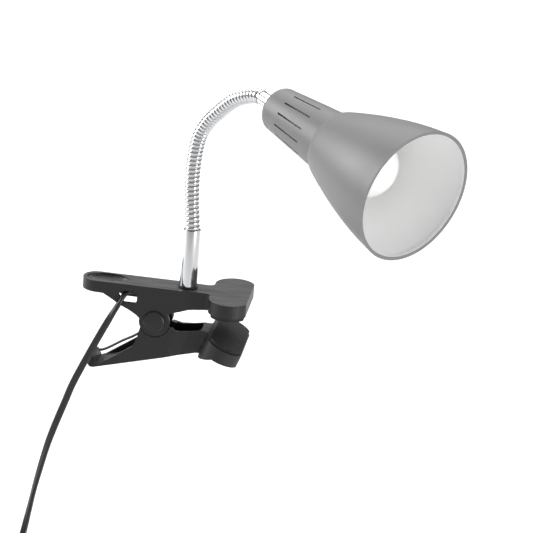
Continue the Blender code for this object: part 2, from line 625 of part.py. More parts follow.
def make_cord(rubber, plastic, steel, switch_turn):
    beside = [(x, y - ARM_HALF, z) for x, y, z in CORD_BESIDE]
    line = smooth_line(CORD_INSIDE + beside + CORD_DOWN, 1.92 * CORD_WIDTH)
    wire("cord", line, CORD_WIDTH / 2, rubber)
    make_cord_clip(plastic, steel)
    make_switch(plastic, steel, rubber, switch_turn)
    wire("cord_link", smooth_line(LINK_ROUTE, 5.0), CORD_WIDTH / 2, rubber)
    make_coil(rubber)
    make_plug(plastic, steel)


def make_cord_clip(plastic, steel):
    """Clip on the roof of the channel that grips the cord inside the arm."""
    roof = ARM_TOP - ARM_ROOF
    x0, x1 = CORD_INSIDE[0][0] + 1.6, CORD_INSIDE[0][0] + 9
    solid("cord_clip", block(x0, x1, -7.0, 6.0, 2.2, roof - GAP), plastic)
    under_clip = Matrix.Translation(((x0 + x1) / 2, 4, 0))
    solid("clip_screw", rod(1.6, 0.6, 2.2 - GAP, 12), steel, matrix=under_clip)


def make_switch(plastic, steel, rubber, turn):
    """Switch in the cord: two halves, a rocker and two screws."""
    at = Matrix.Translation((SWITCH_AT[0], SWITCH_AT[1], FLOOR_Z))
    half_l, half_w = SWITCH_LENGTH / 2, SWITCH_WIDTH / 2
    seam = SWITCH_HEIGHT * 0.45
    end_r = half_w * 0.7
    plan = arc(0, half_l - end_r, end_r, 0, 180, 12) + arc(0, end_r - half_l, end_r, 180, 360, 12)
    plan = [(x * half_w / end_r, y) for x, y in plan]
    base = solid("switch_base", prism(plan, 0, seam, "XY"), plastic, matrix=at)
    cover = solid("switch_cover", prism(plan, seam + GAP, SWITCH_HEIGHT, "XY"), plastic, matrix=at)
    well_w, well_l = ROCKER_WIDTH / 2 + GAP, ROCKER_LENGTH / 2 + 2 * GAP
    well = block(-well_w, well_w, -well_l, well_l, SWITCH_HEIGHT - 6, SWITCH_HEIGHT + CUT)
    combine(cover, "rocker_well", well, matrix=at)
    combine(base, "screw_holes", block(-4, 4, -half_l - CUT, -half_l + 0.2, -CUT, 0.2), matrix=at)
    rise = ROCKER_LENGTH / 2 * sin(radians(ROCKER_TILT))
    half = ROCKER_LENGTH / 2
    outline = [(-half, -1.6), (half, -1.6), (half, 1.2 + rise), (0, 1.2), (-half, 1.2 + rise)]
    tilt = Matrix.Rotation(radians(-ROCKER_TILT), 4, "X")
    body = prism(outline, -ROCKER_WIDTH / 2, ROCKER_WIDTH / 2)
    solid("switch_rocker", body, plastic, turn, tilt @ Matrix.Rotation(pi / 2, 4, "Z"))
    for i, y in enumerate((-1, 1)):
        spot = at @ Matrix.Translation((0, y * (half_l - 9), 0))
        screw = rod(2.2, SWITCH_HEIGHT + GAP, SWITCH_HEIGHT + 1.1, 16)
        solid(f"switch_screw_{i + 1}", screw, steel, matrix=spot)


def make_coil(rubber):
    """The rest of the cord, wound up, as one ring."""
    half_w = COIL_TURNS_WIDE * CORD_WIDTH / 2
    height = COIL_TURNS_HIGH * CORD_WIDTH * 0.75
    at = Matrix.Translation((COIL_AT[0], COIL_AT[1], FLOOR_Z))
    ring = tube(COIL_MIDDLE_R - half_w, COIL_MIDDLE_R + half_w, 0, height, 40)
    solid("cord_coil", ring, rubber, matrix=at)


def make_plug(plastic, steel):
    """Flat two-pin plug lying by the coil."""
    at = Matrix.Translation((PLUG_FRONT, PLUG_Y, FLOOR_Z + PLUG_HEIGHT / 2))
    half_w, rear = PLUG_WIDTH / 2, -PLUG_LENGTH
    plan = [(rear, -4), (rear + 12, -6), (rear + 20, -half_w), (0, -half_w), (0, half_w),
            (rear + 20, half_w), (rear + 12, 6), (rear, 4)]
    solid("plug_body", prism(plan, -PLUG_HEIGHT / 2, PLUG_HEIGHT / 2, "XY"), plastic, matrix=at)
    for i, side in enumerate((-1, 1)):
        lie = at @ Matrix.Translation((GAP, side * PIN_SPACING / 2, 0)) @ Matrix.Rotation(pi / 2, 4, "Y")
        solid(f"plug_pin_{i + 1}", rod(PLUG_PIN_R, 0, PIN_LENGTH, 16), steel, matrix=lie)


# ---------------------------------------------------------------- the lamp

def main():
    for old in list(bpy.data.objects):
        bpy.data.objects.remove(old, do_unlink=True)
    black = material("black_plastic", (0.028, 0.028, 0.03), 0.45)
    liner = material("black_rubber", (0.02, 0.02, 0.02), 0.8)
    chrome = material("chrome", (0.8, 0.8, 0.8), 0.08, 1.0)
    steel = material("steel", (0.45, 0.45, 0.46), 0.35, 1.0)
    brass = material("brass", (0.7, 0.5, 0.25), 0.3, 1.0)
    paint = material("grey_paint", (0.16, 0.16, 0.165), 0.5)
    white = material("white_plastic", (0.72, 0.72, 0.7), 0.35)
    opal = material("opal_glass", (0.9, 0.9, 0.88), 0.25)

    hinge = empty("clamp_pivot", (PIVOT_X, 0, PIVOT_Z), (0, radians(REST_OPENING), 0))
    make_upper_jaw(black, liner)
    make_lower_jaw(black, liner, hinge)
    make_pivot(steel, black)
    make_spring(steel)
    make_sleeve(chrome, black, steel)

    line = neck_line()
    turns = [empty("neck_swing", (SLEEVE_X, 0, SLEEVE_TOP))]
    for i, joint in enumerate(neck_joints(line)[0]):
        turns.append(empty(f"neck_bend_{i + 1}", neck_plane() @ frame_at(line, joint)[0]))
    make_neck(chrome, turns)

    head = empty("head", (0, 0, 0))
    turn = head_frame().to_quaternion().to_matrix().to_4x4()
    head.matrix_world = Matrix.Translation(head_frame().translation * MM) @ turn
    make_head((chrome, paint, steel, white, black, brass, opal), head)

    rocker_turn = empty("rocker_pivot", (SWITCH_AT[0], SWITCH_AT[1], FLOOR_Z + SWITCH_HEIGHT - 1))
    make_cord(liner, black, steel, rocker_turn)


main()
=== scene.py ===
"""Clip-on reading lamp: the look of a spring clamp, a bendable neck, a bell shade and a flat cord.

The shapes that fasten, move or carry load come from the CAD frame. This script gives each of them its
finish, and rebuilds in finer detail the neck, sleeve, shade, bulb, lampholder, spring and cord. Places and
sizes are in millimetres and are turned to metres when a mesh is made. The frame's origin is the middle of
the rubber face under the upper jaw, +X points out of the jaws and +Z is up.
"""

from math import ceil, cos, floor, pi, radians, sin, sqrt

import bpy
from bpy.props import FloatProperty, FloatVectorProperty, IntProperty, PointerProperty
from mathutils import Matrix, Vector


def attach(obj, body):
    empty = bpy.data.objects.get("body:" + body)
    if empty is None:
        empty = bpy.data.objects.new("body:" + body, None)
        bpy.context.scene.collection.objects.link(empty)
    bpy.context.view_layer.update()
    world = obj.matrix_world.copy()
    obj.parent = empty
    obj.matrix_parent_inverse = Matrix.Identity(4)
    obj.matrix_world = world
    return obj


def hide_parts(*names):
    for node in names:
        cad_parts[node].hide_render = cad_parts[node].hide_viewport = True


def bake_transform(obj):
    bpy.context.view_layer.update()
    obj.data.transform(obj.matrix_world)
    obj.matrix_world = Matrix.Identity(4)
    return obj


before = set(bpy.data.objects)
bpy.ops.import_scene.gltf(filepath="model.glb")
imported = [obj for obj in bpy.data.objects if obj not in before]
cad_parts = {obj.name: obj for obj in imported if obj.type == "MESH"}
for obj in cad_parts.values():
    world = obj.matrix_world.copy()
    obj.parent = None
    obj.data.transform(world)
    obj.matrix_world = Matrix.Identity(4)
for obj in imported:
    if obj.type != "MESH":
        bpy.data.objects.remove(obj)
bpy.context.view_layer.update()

bl_info = {
    "name": "Clip-on reading lamp",
    "version": (1, 0, 0),
    "blender": (4, 5, 0),
    "location": "3D View > Sidebar > Lamp",
    "description": "Builds a clip-on reading lamp with a bendable neck, piece by piece",
    "category": "Add Mesh",
}

MM = 0.001
GAP = 0.3                     # between pieces that touch
FLOOR_Z = -215.0

# clamp
ARM_TOP = 12.8
PIVOT = Vector((-54.0, 0.0, -13.9))
CAP_R = 8.1
CAP_INNER_Y = 11.3            # from the middle of the arm to the back of a pivot cap
CAP_T = 2.2
SPRING_COIL_R = 5.0
SPRING_TURNS = 4

# sleeve and neck
SLEEVE_X = -32.2
SLEEVE_TOP = 58.0
SLEEVE_R_TOP, SLEEVE_R_FOOT = 6.3, 6.7
COLLAR_R = 7.3
NECK_R = 5.5
NECK_AZIMUTH = -42.1          # degrees, the upright plane the neck lies in
NECK_PIECES = 5
# the neck's middle line in its plane: distance out from the sleeve's axis, height over the sleeve's top
NECK_ROUTE = [(0, 0), (-0.9, 8), (-3.2, 22), (-4.2, 45), (-0.6, 68), (8, 82.5),
              (19, 93.5), (34.8, 106.5), (51, 114.2), (64.5, 116.4)]

# head
SHADE_DROP = 9.4              # degrees the shade points below level
FERRULE_LENGTH, FERRULE_R = 15.5, 5.0
SHADE_LENGTH = 145.0
BACK_R, BACK_ROUND = 16.3, 6.5
CREASE_AT, CREASE_R = 61.5, 22.0
MOUTH_R = 47.0
SHADE_WALL = 1.3
RIM_WIDTH, RIM_DEPTH = 2.5, 3.0
SLOTS, SLOT_LENGTH, SLOT_START = 13, 28.5, 19.5
HOLDER_R, HOLDER_BACK, HOLDER_SEAM, HOLDER_MOUTH = 13.5, 7.2, 21.2, 62.2
CAP_THREAD_R = 6.9
GLOBE_R = 22.5
GLOBE_AT = 95.1               # middle of the bulb's globe from the back of the shade

# cord: a flat twin lead, its route from the clip in the arm down to the floor and along to the switch
CORD_WIDTH, CORD_THICKNESS = 5.4, 3.3
CORD_ROUTE = [(-60.5, -2.2, 5.0), (-67, -2.6, 6.1), (-72.6, -4.6, 6.6), (-76.4, -8.1, 5.6),
              (-78.7, -12.0, 2.4), (-81.4, -14.5, -3.2), (-86.2, -15.2, -12.5), (-96.1, -15.2, -33.7),
              (-110.2, -15.0, -66.1), (-116.1, -14.8, -83.2), (-127, -14.6, -117.4), (-134.5, -16, -150.9),
              (-138.4, -18.5, -174), (-141.2, -25.5, -194), (-143, -36, -207.5), (-144.2, -49, -212.2),
              (-144.8, -62, -212.3)]
# how far the lead is turned about its own line, as (distance along it, degrees)
CORD_TWIST = [(0, 80), (24, 75), (52, 18), (130, 0), (170, 40), (200, 62), (240, 12), (262, 0)]
SWITCH_AT = (-144.8, -96.5)
SWITCH_LENGTH = 62.0
LINK_ROUTE = [(-144.8, -128.3, -212.3), (-144.3, -134, -212.3), (-143.1, -139.5, -212.3),
              (-141.6, -144.6, -212.3), (-140.9, -155.0, -213.0)]
COIL_AT = (-108.0, -165.0)
COIL_MIDDLE_R = 30.0
COIL_STEP = 3.9               # height of one layer of the coil
# the coil's turns in the order they are wound, as (1 for the outer and -1 for the inner ring, layer)
COIL_ORDER = [(1, 0), (-1, 0), (-1, 1), (1, 1), (-1, 2), (1, 2)]
PLUG_REAR = (-84.0, -204.0, -208.0)
LEAD_OUT = [(-100.0, -198.3, -205.9), (-92.0, -200.9, -206.9), (-84.0, -203.7, -207.9),
            (-76.0, -204.0, -208.0)]
LEAD_Z = -212.3               # middle of the lead where it lies on the floor
LEAD_HANGS = 215              # length of lead that hangs, before it starts to lie down
LEAD_SETTLES = 40             # length over which it turns to lie flat

# camera
LENS = 164.3
EYE = (193.54, -1681.38, 616.65)
LOOK_RIGHT = (0.9883, 0.1276, 0.0820)
LOOK_UP = (-0.1186, 0.3135, 0.9422)


# ---- settings

def to_linear(hex_colour):
    """A colour as sRGB hex, such as D8D8D8, to linear red, green and blue."""
    parts = [int(hex_colour[i:i + 2], 16) / 255 for i in (0, 2, 4)]
    return tuple(p / 12.92 if p <= 0.04045 else ((p + 0.055) / 1.055) ** 2.4 for p in parts)


def size(name, millimetres, description):
    return FloatProperty(name=name, default=millimetres * MM, min=0.0, precision=5, unit="LENGTH",
                         subtype="DISTANCE", description=description)


def colour(name, hex_colour, description):
    return FloatVectorProperty(name=name, default=to_linear(hex_colour), size=3, min=0.0, max=1.0,
                               subtype="COLOR", description=description)


class LampSizes(bpy.types.PropertyGroup):
    ridge_pitch: size("Neck ridge spacing", 3.4, "Distance from one ridge of the bendable neck to the next")
    ridge_depth: size("Neck groove depth", 0.75, "How deep the groove between two ridges is")
    slot_width: size("Vent slot width", 1.25, "Width of the vent slots in the back of the shade")
    edge_round: size("Clamp edge rounding", 0.7, "Rounding of the moulded edges of the clamp")
    spring_wire: size("Spring wire", 2.0, "Thickness of the clamp's spring wire")
    sides: IntProperty(name="Sides of round pieces", default=96, min=24, max=256,
                       description="How many sides the turned pieces have")


class LampColours(bpy.types.PropertyGroup):
    clamp: colour("Clamp plastic", "111112", "Moulded plastic of the clamp, switch and plug")
    # lighter colour of the streaks on the top; it is laid on upward faces only, so it is partly painted
    # light on the top
    clamp_streaks_and_lit_top: colour("Clamp plastic, streaks", "545455", "Lighter streaks along the top of the clamp")
    rubber: colour("Rubber", "121212", "Rubber liners of the jaws")
    lead: colour("Cord", "121213", "Jacket of the cord")
    holder: colour("Lampholder", "DEDED9", "White plastic of the lampholder")
    paint: colour("Shade outside", "797979", "Satin paint on the outside of the shade")
    enamel: colour("Shade inside", "F8F8F8", "White paint on the inside of the shade")
    glass: colour("Bulb", "E8E8E5", "Opal glass of the bulb")
    plating: colour("Bright plating", "D5D6D8", "Plating of the sleeve and the neck")


def sizes():
    return bpy.context.scene.lamp_sizes


def colours():
    return bpy.context.scene.lamp_colours


# ---- curves and meshes

def arc(cx, cy, r, start, end, steps):
    """Points of an arc, from angle start to angle end in degrees."""
    return [(cx + r * cos(radians(start + (end - start) * i / steps)),
             cy + r * sin(radians(start + (end - start) * i / steps))) for i in range(steps + 1)]


def eased(points, r, steps=4, closed=False):
    """An outline with each of its corners rounded to radius r, or to what its neighbours leave room for."""
    made = []
    count = len(points)
    for i, here in enumerate(points):
        if not closed and i in (0, count - 1):
            made.append(tuple(here))
            continue
        here = Vector(here)
        before, after = Vector(points[i - 1]) - here, Vector(points[(i + 1) % count]) - here
        half = before.angle(after, pi) / 2
        if half > radians(86):
            made.append(tuple(here))
            continue
        reach = min(r / max(0.05, abs(sin(half) / cos(half))), 0.45 * before.length, 0.45 * after.length)
        a, b = here + before.normalized() * reach, here + after.normalized() * reach
        for k in range(steps + 1):
            t = k / steps
            made.append(tuple((1 - t) ** 2 * a + 2 * t * (1 - t) * here + t * t * b))
    return made


def smooth_line(points, step, before=None, after=None):
    """Even points on a smooth curve through the given ones, coming from before and heading for after."""
    knots = [Vector(p) for p in points]
    before = 2 * knots[0] - knots[1] if before is None else Vector(before)
    after = 2 * knots[-1] - knots[-2] if after is None else Vector(after)
    padded = [before] + knots + [after]
    fine = []
    for a, b, c, d in zip(padded, padded[1:], padded[2:], padded[3:]):
        for i in range(24):
            t = i / 24
            fine.append(0.5 * ((2 * b) + (c - a) * t + (2 * a - 5 * b + 4 * c - d) * t * t
                               + (3 * b - a - 3 * c + d) * t ** 3))
    fine.append(knots[-1])
    lengths = [0.0]
    for p, q in zip(fine, fine[1:]):
        lengths.append(lengths[-1] + (q - p).length)
    count = max(2, ceil(lengths[-1] / step))
    result, at = [], 0
    for i in range(count + 1):
        wanted = lengths[-1] * i / count
        while at < len(fine) - 2 and lengths[at + 1] < wanted:
            at += 1
        share = (wanted - lengths[at]) / max(1e-9, lengths[at + 1] - lengths[at])
        result.append(fine[at].lerp(fine[at + 1], min(1, share)))
    return result


def read_table(table, at):
    """Value of a table of (place, value) at a place, eased between its rows."""
    for (a, low), (b, high) in zip(table, table[1:]):
        if at <= b:
            t = max(0.0, (at - a) / (b - a))
            return low + (high - low) * t * t * (3 - 2 * t)
    return table[-1][1]


def mesh(name, points, faces, finishes, place=Matrix.Identity(4), sharp=40, kinds=None):
    """A smooth-shaded mesh object from points in millimetres, with edges over the sharp angle left crisp."""
    data = bpy.data.meshes.new(name)
    data.from_pydata([(place @ Vector(p)) * MM for p in points], [], faces)
    for one in finishes:
        data.materials.append(one)
    if kinds:
        data.polygons.foreach_set("material_index", kinds)
    data.polygons.foreach_set("use_smooth", [True] * len(data.polygons))
    data.set_sharp_from_angle(angle=radians(sharp))
    data.validate()
    made = bpy.data.objects.new(name, data)
    bpy.context.scene.collection.objects.link(made)
    return made


def grid_faces(rows, columns):
    """Faces between rows of points, each row a closed ring with that many columns."""
    faces = []
    for i in range(rows - 1):
        for j in range(columns):
            k = (j + 1) % columns
            faces.append((i * columns + j, i * columns + k, (i + 1) * columns + k, (i + 1) * columns + j))
    return faces


def turned(profile, sides, ripple=None):
    """Points and faces of a profile of (radius, height) turned about Z; ripple gives the radius."""
    points = []
    for r, z in profile:
        for j in range(sides):
            angle = 2 * pi * j / sides
            out = r if ripple is None else ripple(r, z, angle)
            points.append((out * cos(angle), out * sin(angle), z))
    return points, grid_faces(len(profile), sides)


def capped(points, faces, sides):
    """The same with its first and last rings closed."""
    last = len(points) - sides
    return points, faces + [tuple(reversed(range(sides))), tuple(range(last, last + sides))]


def frames_along(line):
    """Direction at each point of a line."""
    found = []
    for i in range(len(line)):
        a, b = line[max(0, i - 1)], line[min(len(line) - 1, i + 1)]
        found.append((b - a).normalized())
    return found


def swept(line, section, normals):
    """Points and faces of a section of (across, out) swept on a line, out being along its normals."""
    points = []
    for here, direction, normal in zip(line, frames_along(line), normals):
        normal = (normal - direction * normal.dot(direction)).normalized()
        across = normal.cross(direction)
        points += [here + across * x + normal * y for x, y in section]
    return capped(points, grid_faces(len(line), len(section)), len(section))


def carried_normals(line, first):
    """Normals along a line that turn as little as they can, from a first one."""
    found, normal = [], Vector(first)
    for direction in frames_along(line):
        normal = (normal - direction * normal.dot(direction)).normalized()
        found.append(normal)
    return found


def circle(r, sides):
    return [(r * cos(2 * pi * i / sides), r * sin(2 * pi * i / sides)) for i in range(sides)]


def wire(name, line, r, finish_name, sides=16):
    """A round wire with eased ends."""
    ease = 0.09 * r
    points, faces = swept(line, circle(r, sides), carried_normals(line, (0, 1, 0)))
    for ring, inward in ((0, 1), (len(line) - 1, -1)):
        centre = line[ring]
        direction = frames_along(line)[ring] * inward
        for j in range(sides):
            k = ring * sides + j
            points[k] = centre + (points[k] - centre) * 0.7 - direction * ease
    return mesh(name, points, faces, [finish(finish_name)])


# ---- finishes

NOISE, RANGE, MIX, BUMP = "ShaderNodeTexNoise", "ShaderNodeMapRange", "ShaderNodeMix", "ShaderNodeBump"


def node(tree, kind, inputs=None, out=0, **settings):
    """Adds a node with its settings and gives one of its outputs. An input is a value or another output."""
    made = tree.nodes.new(kind)
    for key, value in settings.items():
        setattr(made, key, value)
    for key, value in (inputs or {}).items():
        if isinstance(value, bpy.types.NodeSocket):
            tree.links.new(value, made.inputs[key])
        else:
            made.inputs[key].default_value = value
    return made.outputs[out]


def per_metre(millimetres):
    """Scale of a texture whose features are that many millimetres across."""
    return 1.0 / (millimetres * MM)


def tone(base, factor=1.0):
    """A linear colour made lighter or darker by a factor, with full alpha."""
    return (*(factor * c for c in base), 1.0)


def start_finish(name, **values):
    """A new material with those values on its shader, its tree and its object coordinates."""
    made = bpy.data.materials.new(name)
    made.use_nodes = True
    tree = made.node_tree
    for key, value in values.items():
        label = key.replace("_", " ").title().replace("Ior", "IOR")
        tree.nodes["Principled BSDF"].inputs[label].default_value = value
    return made, tree, node(tree, "ShaderNodeTexCoord", out="Object")


def end_finish(made, tint, roughness, relief):
    """Links what was made to the material's shader, and gives the material."""
    shader = made.node_tree.nodes["Principled BSDF"]
    for key, value in (("Base Color", tint), ("Roughness", roughness), ("Normal", relief)):
        if value is not None:
            made.node_tree.links.new(value, shader.inputs[key])
    return made


def patchy(name, first, second, patch, roughness, grit, detail=4.0, blend=0.5, grit_detail=2.0, **values):
    """A finish that drifts in patches between two colours and two roughnesses, over a fine grit.

    patch is the size of a patch in millimetres; grit is (size, height, both in millimetres, strength).
    """
    made, tree, where = start_finish(name, **values)
    size_of_grit, height, strength = grit
    patches = node(tree, NOISE, {"Vector": where, "Scale": per_metre(patch), "Detail": detail,
                                 "Roughness": blend})
    tint = node(tree, MIX, {0: patches, 6: first, 7: second}, 2, data_type="RGBA")
    rough = node(tree, RANGE, {"Value": patches, "To Min": roughness[0], "To Max": roughness[1]})
    fine = node(tree, NOISE, {"Vector": where, "Scale": per_metre(size_of_grit), "Detail": grit_detail})
    relief = node(tree, BUMP, {"Height": fine, "Distance": height * MM, "Strength": strength})
    return end_finish(made, tint, rough, relief)


def moulded_abs():
    """Black ABS, injection moulded. The mould was draw-polished along the arm, so the top has long faint
    streaks that catch the light, over a fine spark-eroded grain that keeps the sides dull. Their lighter
    colour is laid on upward faces only, so it is partly painted light on the top."""
    made, tree, where = start_finish("moulded_abs", ior=1.5)
    normal = node(tree, "ShaderNodeNewGeometry", out="Normal")
    up = node(tree, "ShaderNodeSeparateXYZ", {"Vector": normal}, "Z")
    drawn = node(tree, "ShaderNodeMapping", {"Vector": where, "Scale": (0.035, 1.0, 0.25)})
    streaks = node(tree, NOISE, {"Vector": drawn, "Scale": per_metre(1.1), "Detail": 3.0, "Roughness": 0.6})
    clear = node(tree, RANGE, {"Value": streaks, "From Min": 0.38, "From Max": 0.72})
    # the streaks are lightened only where the face points up: real draw-polish streaks, partly painted light
    # on the top
    streaks_and_lit_top = node(tree, "ShaderNodeMath", {0: clear, 1: up}, operation="MULTIPLY", use_clamp=True)
    tint = node(tree, MIX, {0: streaks_and_lit_top, 6: tone(colours().clamp), 7: tone(colours().clamp_streaks_and_lit_top)}, 2,
                data_type="RGBA")
    rough = node(tree, RANGE, {"Value": streaks_and_lit_top, "To Min": 0.46, "To Max": 0.33})
    # the spark-eroded grain is about 0.1 mm; it is drawn at 0.35 mm so that it shows
    grain = node(tree, NOISE, {"Vector": where, "Scale": per_metre(0.35), "Detail": 1.0})
    grained = node(tree, BUMP, {"Height": grain, "Distance": 0.02 * MM, "Strength": 0.35})
    relief = node(tree, BUMP, {"Height": streaks_and_lit_top, "Distance": 0.03 * MM, "Strength": 0.5, "Normal": grained})
    return end_finish(made, tint, rough, relief)


def moulded_nylon():
    """Black glass-filled nylon, injection moulded: collar, cord clip, switch and plug. Duller and
    mottled where the fibres lie near the surface."""
    base = colours().clamp
    return patchy("moulded_nylon", tone(base), tone(base, 1.45), 2.5, (0.42, 0.58), (0.4, 0.02, 0.4),
                  ior=1.53)


def moulded_rubber():
    """Black nitrile rubber, compression moulded and dusted with talc: matt, with a fine pebbled skin."""
    made, tree, where = start_finish("moulded_rubber", roughness=0.8, ior=1.52)
    dust = node(tree, NOISE, {"Vector": where, "Scale": per_metre(6.0), "Detail": 5.0, "Roughness": 0.65})
    dusted = node(tree, RANGE, {"Value": dust, "From Min": 0.45, "From Max": 0.8, "To Max": 0.5})
    tint = node(tree, MIX, {0: dusted, 6: tone(colours().rubber), 7: tone(to_linear("3C3C3B"))}, 2,
                data_type="RGBA")
    pebbles = node(tree, "ShaderNodeTexVoronoi", {"Vector": where, "Scale": per_metre(0.7)}, "Distance")
    relief = node(tree, BUMP, {"Height": pebbles, "Distance": 0.05 * MM, "Strength": 0.6})
    return end_finish(made, tint, None, relief)


def extruded_pvc():
    """Black PVC jacket, extruded: smooth and softly glossy, with faint ripples from the die along it."""
    base = colours().lead
    return patchy("extruded_pvc", tone(base), tone(base, 1.3), 9.0, (0.3, 0.45), (1.6, 0.03, 0.3),
                  detail=3.0, grit_detail=1.0, ior=1.53)


def bright_plating():
    """Nickel and chromium plate on steel, buffed: a mirror with a little haze and fine wiping marks."""
    made, tree, where = start_finish("bright_plating", metallic=1.0)
    base = colours().plating
    haze = node(tree, NOISE, {"Vector": where, "Scale": per_metre(5.0), "Detail": 4.0, "Roughness": 0.6})
    tint = node(tree, MIX, {0: haze, 6: tone(base), 7: tone(base, 0.88)}, 2, data_type="RGBA")
    wiped = node(tree, "ShaderNodeMapping", {"Vector": where, "Scale": (1.0, 1.0, 0.05)})
    marks = node(tree, NOISE, {"Vector": wiped, "Scale": per_metre(0.5), "Detail": 2.0})
    hazy = node(tree, RANGE, {"Value": haze, "To Min": 0.05, "To Max": 0.13})
    marked = node(tree, RANGE, {"Value": marks, "To Max": 0.05})
    rough = node(tree, "ShaderNodeMath", {0: hazy, 1: marked}, operation="ADD")
    relief = node(tree, BUMP, {"Height": marks, "Distance": 0.004 * MM, "Strength": 0.3})
    return end_finish(made, tint, rough, relief)


def zinc_plate():
    """Zinc plate on steel, passivated: grey metal with a soft sheen and faint blotches."""
    return patchy("zinc_plate", tone(to_linear("A9ABAD")), tone(to_linear("8E9194")), 1.8, (0.28, 0.45),
                  (0.4, 0.01, 0.3), metallic=1.0)


def blacked_spring_wire():
    """Hard-drawn spring wire, oil-blacked: near black with a waxy sheen and drawing lines."""
    return patchy("blacked_spring_wire", tone(to_linear("202022")), tone(to_linear("343436")), 2.2,
                  (0.28, 0.42), (0.3, 0.01, 0.3), ior=1.6)


def drawn_brass():
    """Brass, drawn and turned: warm metal, slightly dulled in patches by handling."""
    return patchy("drawn_brass", tone(to_linear("CDAA63")), tone(to_linear("A07F45")), 2.5, (0.2, 0.42),
                  (0.4, 0.008, 0.3), metallic=1.0)


def satin_paint():
    """Grey polyester powder coat, baked on spun steel: satin, with a shallow orange peel."""
    made, tree, where = start_finish("satin_paint", ior=1.5)
    base = colours().paint
    cloud = node(tree, NOISE, {"Vector": where, "Scale": per_metre(22.0), "Detail": 3.0})
    tint = node(tree, MIX, {0: cloud, 6: tone(base, 0.96), 7: tone(base, 1.04)}, 2, data_type="RGBA")
    rough = node(tree, RANGE, {"Value": cloud, "To Min": 0.42, "To Max": 0.5})
    # the peel is about 1 mm from crest to crest
    peel = node(tree, NOISE, {"Vector": where, "Scale": per_metre(1.0), "Detail": 1.0})
    peeled = node(tree, BUMP, {"Height": peel, "Distance": 0.02 * MM, "Strength": 0.3})
    powder = node(tree, NOISE, {"Vector": where, "Scale": per_metre(0.35), "Detail": 1.0})
    relief = node(tree, BUMP, {"Height": powder, "Distance": 0.01 * MM, "Strength": 0.3, "Normal": peeled})
    return end_finish(made, tint, rough, relief)


def white_enamel():
    """White baked enamel, sprayed on the inside of the shade: bright, semi-gloss, with orange peel."""
    base = colours().enamel
    return patchy("white_enamel", tone(base), tone(base, 0.97), 25.0, (0.32, 0.4), (1.2, 0.02, 0.3),
                  detail=2.0, grit_detail=1.0, ior=1.5)


def opal_glass():
    """Opal glass, blown and coated white inside: smooth and glossy, with light spread under the skin."""
    base = colours().glass
    return patchy("opal_glass", tone(base), tone(base, 0.98), 12.0, (0.14, 0.2), (8.0, 0.05, 0.2),
                  detail=2.0, grit_detail=1.0, ior=1.5, subsurface_weight=0.4,
                  subsurface_radius=(1.0, 1.0, 1.0), subsurface_scale=2.0 * MM)


def moulded_pbt():
    """White PBT, the heat-proof plastic of lampholders, injection moulded: semi-gloss, a touch uneven."""
    base = colours().holder
    return patchy("moulded_pbt", tone(base), tone(base, 0.95), 7.0, (0.3, 0.42), (0.6, 0.01, 0.25),
                  detail=3.0, ior=1.55)


def pressed_bakelite():
    """Black phenolic, hot pressed: hard, dark and glossy, with a brownish cast and a mottled depth."""
    return patchy("pressed_bakelite", tone(to_linear("141210")), tone(to_linear("2A2522")), 3.0, (0.2, 0.32),
                  (0.8, 0.01, 0.25), detail=5.0, blend=0.6, ior=1.6)


MAKERS = {maker.__name__: maker for maker in (
    moulded_abs, moulded_nylon, moulded_rubber, extruded_pvc, bright_plating, zinc_plate,
    blacked_spring_wire, drawn_brass, satin_paint, white_enamel, opal_glass, moulded_pbt, pressed_bakelite)}


def finish(name):
    """The finish of that name, made the first time it is asked for."""
    return bpy.data.materials.get(name) or MAKERS[name]()


def dress(name, finish_name, rounding, segments=3):
    """Gives a CAD piece its finish, and rounds its edges by that many millimetres."""
    piece = bpy.data.objects[name]
    piece.data.materials.clear()
    piece.data.materials.append(finish(finish_name))
    piece.data.polygons.foreach_set("use_smooth", [True] * len(piece.data.polygons))
    piece.data.set_sharp_from_angle(angle=radians(35))
    if rounding:
        edges = piece.modifiers.new("edges", "BEVEL")
        edges.width = rounding * MM
        edges.segments = segments
        edges.limit_method = "ANGLE"
        edges.angle_limit = radians(35)
        edges.use_clamp_overlap = True
        edges.harden_normals = True


# ---- places

def neck_plane():
    """From (out, 0, up) in the neck's own plane to the frame, in millimetres."""
    return Matrix.Translation((SLEEVE_X, 0, 0)) @ Matrix.Rotation(radians(NECK_AZIMUTH), 4, "Z")


def neck_line(step):
    """Points along the neck's middle line, in its own plane."""
    second_out, second_up = NECK_ROUTE[1]
    before = (second_out, 0, SLEEVE_TOP - second_up)
    out, up = NECK_ROUTE[-2]
    drop = radians(SHADE_DROP)
    reach = 2 * (NECK_ROUTE[-1][0] - out)
    after = (out + reach * cos(drop), 0, SLEEVE_TOP + up - reach * sin(drop))
    return smooth_line([(x, 0, SLEEVE_TOP + z) for x, z in NECK_ROUTE], step, before, after)


def head_place():
    """From the head's own frame, +Z from the back of the shade to its mouth, to the frame."""
    drop = radians(SHADE_DROP)
    out, up = NECK_ROUTE[-1]
    reach = FERRULE_LENGTH + 0.1
    back = (out + reach * cos(drop), 0, SLEEVE_TOP + up - reach * sin(drop))
    return neck_plane() @ Matrix.Translation(back) @ Matrix.Rotation(pi / 2 + drop, 4, "Y")


def across_pivot(side):
    """From a piece made about Z, facing outwards on one side of the clamp, to the frame."""
    return Matrix.Translation(PIVOT) @ Matrix.Rotation(-side * pi / 2, 4, "X")


def about(name, profile, finish_name, place, body, replaced, sides=None, ripple=None, rounding=0.0):
    """A turned piece that stands for CAD nodes and rides on a body."""
    profile = eased(profile, rounding) if rounding else profile
    points, faces = turned(profile, sides or sizes().sides, ripple)
    made = mesh(name, points, faces, [finish(finish_name)], place)
    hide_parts(*replaced)
    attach(made, body)


# ---- clamp

